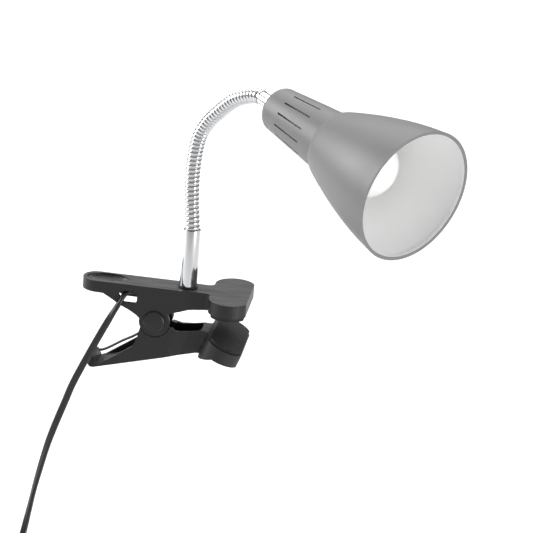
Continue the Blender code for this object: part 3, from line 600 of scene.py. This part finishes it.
class LAMP_OT_clamp(bpy.types.Operator):
    """Finishes the two jaws, their rubber liners and what fastens the sleeve and grips the cord"""
    bl_idname = "lamp.clamp"
    bl_label = "Clamp"

    def execute(self, context):
        edge = sizes().edge_round / MM
        for jaw in ("upper_jaw", "lower_jaw"):
            dress(jaw, "moulded_abs", edge, segments=4)
        for liner in ("upper_liner", "lower_liner"):
            dress(liner, "moulded_rubber", 0.4)
        dress("cord_clip", "moulded_nylon", 0.5)
        for small in ("clip_screw", "base_washer", "base_nut"):
            dress(small, "zinc_plate", 0.2)
        return {"FINISHED"}


class LAMP_OT_pivot(bpy.types.Operator):
    """Adds the clamp's pin and its two domed caps"""
    bl_idname = "lamp.pivot"
    bl_label = "Pivot"

    def execute(self, context):
        low, high = CAP_INNER_Y, CAP_INNER_Y + CAP_T
        dome = [(0, high), (CAP_R - 3.5, high - 0.08), (CAP_R - 1.0, high - 0.4), (CAP_R, high - 1.2),
                (CAP_R, low), (2.8, low)]
        about("pivot_cap_near_look", dome, "moulded_abs", across_pivot(-1), "clamp",
              ["pivot_cap_near"], rounding=0.6)
        ring = [(2.8, low), (CAP_R, low), (CAP_R, high - 0.7), (CAP_R - 0.6, high), (2.8, high), (2.8, low)]
        about("pivot_cap_far_look", ring[::-1], "moulded_abs", across_pivot(1), "clamp",
              ["pivot_cap_far"], rounding=0.35)
        dress("pivot_pin", "zinc_plate", 0.3)
        return {"FINISHED"}


class LAMP_OT_spring(bpy.types.Operator):
    """Adds the torsion spring: its coil and upper leg on the clamp, its lower leg on the lower jaw"""
    bl_idname = "lamp.spring"
    bl_label = "Spring"

    def execute(self, context):
        r = sizes().spring_wire / MM / 2
        half = (2 * r + 0.25) * SPRING_TURNS / 2
        start, end = 215.0, 130.0
        turn = 360 * SPRING_TURNS + (start - end)
        steps = 24 * SPRING_TURNS
        coil = []
        for i in range(steps + 1):
            angle = radians(start - turn * i / steps)
            coil.append(Vector((PIVOT.x + SPRING_COIL_R * cos(angle), half * (2 * i / steps - 1),
                                PIVOT.z + SPRING_COIL_R * sin(angle))))
        upper = [Vector(p) for p in ((-62.0, half, -6.0), (-68.0, half, 1.5), (-73.0, half - 0.4, 7.0),
                                     (-76.0, half - 0.6, 6.4))]
        lower = [Vector(p) for p in ((-96.0, -1.2, -45.0), (-90.5, -1.6, -43.2), (-78.0, -2.4, -34.8),
                                     (-66.6, -3.4, -27.3))]
        wound = wire("spring_coil", smooth_line(coil + upper, 0.9), r, "blacked_spring_wire")
        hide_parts("torsion_spring")
        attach(wound, "clamp")
        leg = wire("spring_leg", smooth_line(lower + coil[:3], 0.9), r, "blacked_spring_wire")
        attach(leg, "lower_jaw")
        return {"FINISHED"}


# ---- sleeve and neck

class LAMP_OT_sleeve(bpy.types.Operator):
    """Adds the plated sleeve that holds the neck, and the collar under it"""
    bl_idname = "lamp.sleeve"
    bl_label = "Sleeve"

    def execute(self, context):
        place = Matrix.Translation((SLEEVE_X, 0, 0))
        foot = ARM_TOP + 2 * GAP + 1.0
        bore = NECK_R + GAP
        tube = [(2.4, foot - 9.7), (4.0, foot - 9.7), (4.0, foot), (SLEEVE_R_FOOT, foot),
                (SLEEVE_R_TOP, SLEEVE_TOP), (bore, SLEEVE_TOP), (bore, foot + 4), (2.4, foot + 4)]
        about("sleeve", tube, "bright_plating", place, "clamp", ["base_sleeve"], rounding=0.35)
        low = ARM_TOP + GAP
        collar = [(4.3, low), (COLLAR_R, low), (COLLAR_R, low + 1.0), (4.3, low + 1.0)]
        about("collar", collar, "moulded_nylon", place, "clamp", ["base_collar"],
              rounding=0.3)
        return {"FINISHED"}


class LAMP_OT_neck(bpy.types.Operator):
    """Adds the bendable neck, a tube wound from ridged strip, in one piece for each of its joints"""
    bl_idname = "lamp.neck"
    bl_label = "Neck"

    def execute(self, context):
        pitch, depth = sizes().ridge_pitch / MM, sizes().ridge_depth / MM
        around, along = 36, 12
        line = neck_line(0.5)
        steps = [(q - p).length for p, q in zip(line, line[1:])]
        length = sum(steps)
        step = length / len(steps)
        share = length / NECK_PIECES
        plane = neck_plane()
        tail = 6.0

        def at(distance):
            if distance <= 0:
                return line[0] + Vector((0, 0, distance)), Vector((0, 0, 1))
            i = min(int(distance / step), len(line) - 2)
            t = distance / step - i
            here, there = line[i], line[i + 1]
            before, after = line[max(0, i - 1)], line[min(len(line) - 1, i + 2)]
            direction = (there - before).normalized() * (1 - t) + (after - here).normalized() * t
            return here.lerp(there, t), direction.normalized()

        replaced = [["neck_root"], ["neck_link_1"], ["neck_link_2"], ["neck_link_3"],
                    ["neck_link_4", "neck_tip"]]
        for piece in range(NECK_PIECES):
            start, end = piece * share, (piece + 1) * share
            low = -tail if piece == 0 else start
            rows = ceil((end - low) / (pitch / along))
            points = []
            for i in range(rows + 1):
                distance = low + (end - low) * i / rows
                centre, direction = at(distance)
                across = Vector((direction.z, 0, -direction.x))
                for j in range(around):
                    angle = 2 * pi * j / around
                    phase = distance / pitch - j / around
                    crest = abs(2 * (phase - floor(phase)) - 1)
                    r = NECK_R - depth * crest ** 2.2
                    points.append(centre + across * (r * cos(angle)) + Vector((0, r * sin(angle), 0)))
            points, faces = capped(points, grid_faces(rows + 1, around), around)
            made = mesh(f"neck_part_{piece + 1}", points, faces, [finish("bright_plating")], plane, sharp=75)
            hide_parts(*replaced[piece])
            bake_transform(made)
        return {"FINISHED"}


# ---- head

def shade_profile():
    """Outer profile of the shade from its back to its mouth, as (radius, height)."""
    back = [(BACK_R - BACK_ROUND + x, BACK_ROUND + y) for x, y in arc(0, 0, BACK_ROUND, -90, 0, 10)]
    share = [(0.035, 0.11), (0.12, 0.23), (0.22, 0.35), (0.375, 0.525), (0.53, 0.677), (0.675, 0.802),
             (0.83, 0.91), (1, 1)]
    knots = [(CREASE_R, CREASE_AT)] + [(CREASE_R + (MOUTH_R - CREASE_R) * rise,
                                        CREASE_AT + (SHADE_LENGTH - CREASE_AT) * run) for run, rise in share]
    bell = smooth_line([(r, 0, z) for r, z in knots], 2.0)
    cone = []
    for z in slot_rows():
        cone.append((BACK_R + (CREASE_R - BACK_R) * (z - BACK_ROUND) / (CREASE_AT - BACK_ROUND), z))
    return back + cone + [(p.x, p.z) for p in bell]


def slot_rows():
    """Heights of the shade's rows from the rounded back to the crease: close together at the slots' ends."""
    end = SLOT_START + SLOT_LENGTH
    ends = [0.0, 0.12, 0.35, 0.75]
    rows = [11.0, 15.5] + [SLOT_START + e for e in ends]
    rows += [SLOT_START + SLOT_LENGTH * k / 8 for k in range(1, 8)]
    return rows + [end - e for e in reversed(ends)] + [52.0, 56.0, 59.5]


def slot_half_width(z):
    """Half the width of a slot at a height, zero outside it, with round ends."""
    r = sizes().slot_width / MM / 2
    near = min(z - SLOT_START, SLOT_START + SLOT_LENGTH - z)
    if near < -1e-6:
        return None
    return r if near >= r else sqrt(max(0.0, r * r - (r - near) ** 2))


class LAMP_OT_shade(bpy.types.Operator):
    """Adds the shade: a thin bell with a rolled rim, vent slots, grey paint outside and white inside"""
    bl_idname = "lamp.shade"
    bl_label = "Shade"

    def execute(self, context):
        outside = shade_profile()
        columns = 10                     # in each of the shade's sectors, the first of them being the slot
        hole = 5.1
        outer = [(hole, 0.0)] + outside
        inner = [(hole, SHADE_WALL)]
        for i, (r, z) in enumerate(outside):
            before, after = outside[max(0, i - 1)], outside[min(len(outside) - 1, i + 1)]
            along = Vector((after[0] - before[0], after[1] - before[1])).normalized()
            inner.append((r - SHADE_WALL * along.y, z + SHADE_WALL * along.x))
        inner[-1] = (MOUTH_R - SHADE_WALL, SHADE_LENGTH - RIM_DEPTH)

        def ring(r, z):
            half = slot_half_width(z)
            edge = (half if half is not None else sizes().slot_width / MM / 2) / r
            span = 2 * pi / SLOTS - 2 * edge
            made = []
            for s in range(SLOTS):
                middle = 2 * pi * s / SLOTS
                made.append(middle - edge)
                made += [middle + edge + span * k / (columns - 1) for k in range(columns - 1)]
            return [(r * cos(a), r * sin(a), z) for a in made]

        rows = len(outer)
        wide = SLOTS * columns
        points = []
        for r, z in outer + inner:
            points += ring(r, z)
        end = SLOT_START + SLOT_LENGTH
        holes = [i for i, (r, z) in enumerate(outer[:-1])
                 if SLOT_START - 1e-6 <= z and outer[i + 1][1] <= end + 1e-6 and r > hole + 1]
        faces, kinds = [], []
        for i in range(rows - 1):
            for j in range(wide):
                if i in holes and j % columns == 0:
                    continue
                k = (j + 1) % wide
                a, b = i * wide, (i + 1) * wide
                faces.append((a + j, a + k, b + k, b + j))
                kinds.append(0)
                c, d = a + rows * wide, b + rows * wide
                faces.append((c + k, c + j, d + j, d + k))
                kinds.append(1)
        for s in range(SLOTS):
            left, right = s * columns, s * columns + 1
            for i in holes:
                a, b = i * wide, (i + 1) * wide
                c, d = a + rows * wide, b + rows * wide
                faces.append((a + left, b + left, d + left, c + left))
                faces.append((b + right, a + right, c + right, d + right))
                kinds += [0, 0]
        # the rolled rim, from the outer sheet's edge round to the inner sheet's edge
        lip = MOUTH_R - RIM_WIDTH
        painted_rings = 12               # how far round the rim the grey paint reaches
        rolled = SHADE_LENGTH - RIM_DEPTH
        rim = eased([(MOUTH_R, SHADE_LENGTH - 0.01), (MOUTH_R, SHADE_LENGTH), (lip, SHADE_LENGTH),
                     (lip, rolled), (MOUTH_R - SHADE_WALL, rolled)], 0.9, 6)
        base = len(points)
        for r, z in rim[1:-1]:
            points += ring(r, z)
        belt = [(rows - 1) * wide] + [base + i * wide for i in range(len(rim) - 2)] + [(2 * rows - 1) * wide]
        for n, (a, b) in enumerate(zip(belt, belt[1:])):
            for j in range(wide):
                k = (j + 1) % wide
                faces.append((a + j, a + k, b + k, b + j))
                kinds.append(0 if n < painted_rings else 1)
        for j in range(wide):
            k = (j + 1) % wide
            faces.append((k, j, rows * wide + j, rows * wide + k))
            kinds.append(1)
        made = mesh("shade_shell", points, faces, [finish("satin_paint"), finish("white_enamel")],
                    head_place(), sharp=32, kinds=kinds)
        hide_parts("shade")
        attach(made, "head")
        return {"FINISHED"}


class LAMP_OT_ferrule(bpy.types.Operator):
    """Adds the plated ferrule between neck and shade, and finishes the washer and nut inside the shade"""
    bl_idname = "lamp.ferrule"
    bl_label = "Ferrule"

    def execute(self, context):
        flange = FERRULE_R + 1.0
        stud = [(2.6, -FERRULE_LENGTH), (FERRULE_R, -FERRULE_LENGTH), (FERRULE_R, -3.0), (flange, -2.4),
                (flange, -GAP), (4.8, -GAP), (4.8, 12.0), (2.6, 12.0)]
        about("ferrule", stud, "bright_plating", head_place(), "head", ["head_ferrule"],
              rounding=0.3)
        for small in ("head_washer", "head_nut"):
            dress(small, "zinc_plate", 0.25)
        return {"FINISHED"}


class LAMP_OT_lampholder(bpy.types.Operator):
    """Adds the ribbed lampholder and finishes its contacts and screws"""
    bl_idname = "lamp.lampholder"
    bl_label = "Lampholder"

    def execute(self, context):
        place = head_place()
        r, wall = HOLDER_R, 2.2
        dome = [(5.1, HOLDER_BACK), (9.5, HOLDER_BACK), (12.2, HOLDER_BACK + 2), (r, HOLDER_BACK + 5.5),
                (r, HOLDER_SEAM), (r - wall, HOLDER_SEAM), (r - wall, HOLDER_BACK + 6),
                (5.1, HOLDER_BACK + 5)]
        about("holder_cap", dome, "moulded_pbt", place, "head", ["lampholder_cap"],
              rounding=0.6)

        def ribs(radius, height, angle):
            inside_band = HOLDER_SEAM + 3 < height < HOLDER_SEAM + 20 and radius > r - 0.5
            return radius - 0.35 * (0.5 - 0.5 * cos(36 * angle)) if inside_band else radius

        low = HOLDER_SEAM + GAP
        bore, step = CAP_THREAD_R + 1.5, low + 12.5
        band = [(r, low + up) for up in (2, 2.9, 3.1, 11, 19.4, 19.7)]
        skirt = [(r - wall, low), (r, low)] + band + [(r - 0.6, HOLDER_MOUTH - 1), (r - 1.6, HOLDER_MOUTH),
                                                      (bore, HOLDER_MOUTH), (bore, step), (r - wall, step)]
        about("holder_body", skirt, "moulded_pbt", place, "head", ["lampholder_body"],
              sides=216, ripple=ribs)
        dress("contact_block", "pressed_bakelite", 0.4)
        for small in ("screw_shell", "centre_contact", "terminal_screw_1", "terminal_screw_2"):
            dress(small, "drawn_brass", 0.15)
        return {"FINISHED"}


class LAMP_OT_bulb(bpy.types.Operator):
    """Adds the bulb's opal glass globe, and finishes its screw cap, contact and insulator"""
    bl_idname = "lamp.bulb"
    bl_label = "Bulb"

    def execute(self, context):
        place = head_place()
        neck_low = 60.0
        throat_angle = -62               # degrees, where the globe runs into its throat
        globe = arc(0, GLOBE_AT, GLOBE_R, throat_angle, 90, 40)[:-1] + [(0.02, GLOBE_AT + GLOBE_R)]
        first_r, first_z = globe[0]
        throat = smooth_line([(CAP_THREAD_R, 0, neck_low), (CAP_THREAD_R + 0.5, 0, neck_low + 5),
                              (first_r - 1.2, 0, first_z - 2.6), (first_r, 0, first_z)], 1.0)
        profile = [(CAP_THREAD_R - 2, neck_low)] + [(p.x, p.z) for p in throat][:-1] + globe
        about("globe", profile, "opal_glass", place, "bulb", ["bulb_globe"])
        dress("bulb_cap", "drawn_brass", 0.2)
        dress("bulb_contact", "drawn_brass", 0.15)
        dress("bulb_insulator", "pressed_bakelite", 0.15)
        return {"FINISHED"}


# ---- cord

def lead_section():
    """Outline of the flat twin lead: two round cores side by side in one jacket."""
    r = CORD_THICKNESS / 2
    shift = CORD_WIDTH / 2 - r
    return arc(shift, 0, r, -118, 118, 9) + arc(-shift, 0, r, 62, 298, 9)


def coil_line():
    """The wound-up part of the lead, starting on the left of the coil and going towards -Y."""
    points = []
    per_turn = 40
    ease = 8                             # points it takes to change from one turn to the next
    total = per_turn * (len(COIL_ORDER) - 1) + per_turn // 4
    lane = CORD_WIDTH / 2 + 0.15
    for i in range(total + 1):
        turn = min(i // per_turn, len(COIL_ORDER) - 1)
        side, layer = COIL_ORDER[turn]
        left = (turn + 1) * per_turn - i
        if left < ease and turn + 1 < len(COIL_ORDER):
            t = 1 - left / ease
            t = t * t * (3 - 2 * t)
            next_side, next_layer = COIL_ORDER[turn + 1]
            side, layer = side + (next_side - side) * t, layer + (next_layer - layer) * t
        angle = pi + 2 * pi * i / per_turn
        r = COIL_MIDDLE_R + side * lane
        points.append((COIL_AT[0] + r * cos(angle), COIL_AT[1] + r * sin(angle),
                       FLOOR_Z + CORD_THICKNESS / 2 + 0.1 + layer * COIL_STEP))
    return points


def whole_lead():
    """The lead's middle line from the clip in the arm to the plug, and which way its flat side faces."""
    x, y = SWITCH_AT
    through = [(x, y + 15, LEAD_Z), (x, y - 15, LEAD_Z)]
    line = smooth_line(CORD_ROUTE + through + LINK_ROUTE + coil_line() + LEAD_OUT, 3.0)
    normals, normal, gone = [], Vector((0, -1, 0)), 0.0
    directions = frames_along(line)
    for i, direction in enumerate(directions):
        gone += (line[i] - line[i - 1]).length if i else 0.0
        level = min(1.0, max(0.0, (gone - LEAD_HANGS) / LEAD_SETTLES))
        wanted = Vector((0, -1, 0)).lerp(Vector((0, 0, 1)), level)
        normal = (wanted - direction * wanted.dot(direction)).normalized()
        turn = Matrix.Rotation(radians(read_table(CORD_TWIST, gone)), 3, direction)
        normals.append(turn @ normal)
    return line, normals


def cord_guard(name, at, direction, length, r_thick, r_thin, ribs):
    """A ribbed, tapering cord guard that starts at a point and runs in a direction."""
    profile = [(0.5, 0)]
    for k in range(ribs):
        z = length * k / ribs
        r = r_thick + (r_thin - r_thick) * k / ribs
        profile += [(r, z), (r, z + 0.62 * length / ribs), (r - 0.7, z + 0.66 * length / ribs),
                    (r - 0.7, z + length / ribs - 0.05)]
    profile += [(r_thin, length), (0.5, length)]
    points, faces = turned(eased(profile, 0.2, 2), 40)
    turn = Vector(direction).to_track_quat("Z", "Y").to_matrix().to_4x4()
    made = mesh(name, points, faces, [finish("moulded_nylon")], Matrix.Translation(at) @ turn)
    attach(made, "clamp")


class LAMP_OT_switch(bpy.types.Operator):
    """Finishes the switch in the cord and adds its cord guards"""
    bl_idname = "lamp.switch"
    bl_label = "Cord switch"

    def execute(self, context):
        for half in ("switch_base", "switch_cover"):
            dress(half, "moulded_nylon", 1.4, segments=5)
        dress("switch_rocker", "moulded_nylon", 0.6)
        for screw in ("switch_screw_1", "switch_screw_2"):
            dress(screw, "zinc_plate", 0.3)
        x, y = SWITCH_AT
        for i, side in enumerate((1, -1)):
            cord_guard(f"switch_guard_{i + 1}", (x, y + side * (SWITCH_LENGTH / 2 - 1), FLOOR_Z + 3.4),
                       (0, side, 0), 7.0, 3.3, 3.0, 3)
        return {"FINISHED"}


class LAMP_OT_plug(bpy.types.Operator):
    """Finishes the plug and its pins and adds its cord guard"""
    bl_idname = "lamp.plug"
    bl_label = "Plug"

    def execute(self, context):
        dress("plug_body", "moulded_nylon", 2.0, segments=5)
        for pin in ("plug_pin_1", "plug_pin_2"):
            dress(pin, "zinc_plate", 0.8)
        x, y, z = PLUG_REAR
        cord_guard("plug_guard", (x + 2, y, z), (-1, 0, 0), 11.0, 3.9, 3.1, 4)
        return {"FINISHED"}


class LAMP_OT_cord(bpy.types.Operator):
    """Adds the flat twin cord in one piece, from the arm through the switch and its coil to the plug"""
    bl_idname = "lamp.cord"
    bl_label = "Cord"

    def execute(self, context):
        line, normals = whole_lead()
        points, faces = swept(line, lead_section(), normals)
        made = mesh("lead", points, faces, [finish("extruded_pvc")], sharp=60)
        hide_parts("cord", "cord_link", "cord_coil")
        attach(made, "clamp")
        tie = self.tie()
        return {"FINISHED"}

    def tie(self):
        """A plastic-coated wire tie round the coil."""
        angle = radians(35)
        out = Vector((cos(angle), sin(angle), 0))
        half, low, high = CORD_WIDTH + 0.9, FLOOR_Z + 0.3, FLOOR_Z + 12.6
        centre = Vector((COIL_AT[0], COIL_AT[1], 0))
        near, far = COIL_MIDDLE_R - half, COIL_MIDDLE_R + half
        corners = eased([(near, low), (far, low), (far, high), (near, high)], 3.0, 8, closed=True)
        loop = [centre + out * r + Vector((0, 0, z)) for r, z in corners]
        loop += [loop[0], loop[1] + Vector((0, 0, 0.1))]
        line = smooth_line(loop, 0.8)
        section = [(-0.3, -2.0), (0.3, -2.0), (0.3, 2.0), (-0.3, 2.0)]
        points, faces = swept(line, section, [out.cross(Vector((0, 0, 1)))] * len(line))
        made = mesh("coil_tie", points, faces, [finish("moulded_nylon")])
        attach(made, "clamp")
        return made


# ---- stage

def softbox(name, place, aim, width, height, power):
    """A soft rectangular light, in metres and watts."""
    light = bpy.data.lights.new(name, "AREA")
    light.shape = "RECTANGLE"
    light.size, light.size_y, light.energy = width, height, power
    made = bpy.data.objects.new(name, light)
    made.location = place
    made.rotation_euler = (Vector(aim) - Vector(place)).to_track_quat("-Z", "Y").to_euler()
    bpy.context.scene.collection.objects.link(made)


class LAMP_OT_stage(bpy.types.Operator):
    """Adds the pale floor, the soft studio light and the camera"""
    bl_idname = "lamp.stage"
    bl_label = "Stage"

    def execute(self, context):
        paper = bpy.data.materials.new("matt_paper")
        paper.use_nodes = True
        shader = paper.node_tree.nodes["Principled BSDF"]
        shader.inputs["Base Color"].default_value = (*to_linear("F4F4F4"), 1)
        shader.inputs["Roughness"].default_value = 0.9
        half = 6000                      # half the side of the floor
        corners = [(x * half, y * half, FLOOR_Z) for x, y in ((-1, -1), (1, -1), (1, 1), (-1, 1))]
        ground = mesh("floor", corners, [(0, 1, 2, 3)], [paper])
        sky = bpy.data.worlds.new("studio")
        sky.use_nodes = True
        sky.node_tree.nodes["Background"].inputs["Color"].default_value = (1, 1, 1, 1)
        sky.node_tree.nodes["Background"].inputs["Strength"].default_value = 0.36
        context.scene.world = sky
        context.scene.view_settings.view_transform = "Standard"
        softbox("overhead", (0.1, 1.3, 1.5), (0.1, 1.3, 0), 2.6, 2.2, 46)
        softbox("left", (-1.5, 0.2, 0.7), (0, 0, 0.1), 0.6, 0.9, 23)
        softbox("front_right", (1.4, -1.0, 0.0), (0.1, -0.1, 0.12), 0.7, 0.7, 17)

        camera = bpy.data.cameras.new("camera")
        camera.lens, camera.sensor_width = LENS, 36
        camera.clip_start, camera.clip_end = 0.05, 50
        camera.dof.use_dof = False
        right = Vector(LOOK_RIGHT).normalized()
        up = Vector(LOOK_UP)
        up = (up - right * up.dot(right)).normalized()
        back = right.cross(up)
        turn = Matrix((right, up, back)).transposed().to_4x4()
        eye = bpy.data.objects.new("camera", camera)
        eye.matrix_world = Matrix.Translation(Vector(EYE) * MM) @ turn
        context.scene.collection.objects.link(eye)
        context.scene.camera = eye
        return {"FINISHED"}


# ---- add-on

STEPS = (LAMP_OT_clamp, LAMP_OT_pivot, LAMP_OT_spring, LAMP_OT_sleeve, LAMP_OT_neck, LAMP_OT_shade,
         LAMP_OT_ferrule, LAMP_OT_lampholder, LAMP_OT_bulb, LAMP_OT_switch, LAMP_OT_plug, LAMP_OT_cord,
         LAMP_OT_stage)


class LAMP_PT_panel(bpy.types.Panel):
    """Sizes, colours and pieces of the lamp"""
    bl_idname = "LAMP_PT_panel"
    bl_label = "Clip-on lamp"
    bl_space_type = "VIEW_3D"
    bl_region_type = "UI"
    bl_category = "Lamp"

    def draw(self, context):
        for group in (context.scene.lamp_sizes, context.scene.lamp_colours):
            box = self.layout.box()
            for name in group.__annotations__:
                box.prop(group, name)
        for step in STEPS:
            self.layout.operator(step.bl_idname)


CLASSES = (LampSizes, LampColours, *STEPS, LAMP_PT_panel)


def register():
    for one in CLASSES:
        bpy.utils.register_class(one)
    bpy.types.Scene.lamp_sizes = PointerProperty(type=LampSizes)
    bpy.types.Scene.lamp_colours = PointerProperty(type=LampColours)


def unregister():
    del bpy.types.Scene.lamp_colours
    del bpy.types.Scene.lamp_sizes
    for one in reversed(CLASSES):
        bpy.utils.unregister_class(one)


def main():
    register()
    for step in STEPS:
        group, name = step.bl_idname.split(".")
        getattr(getattr(bpy.ops, group), name)()


if __name__ == "__main__":
    main()
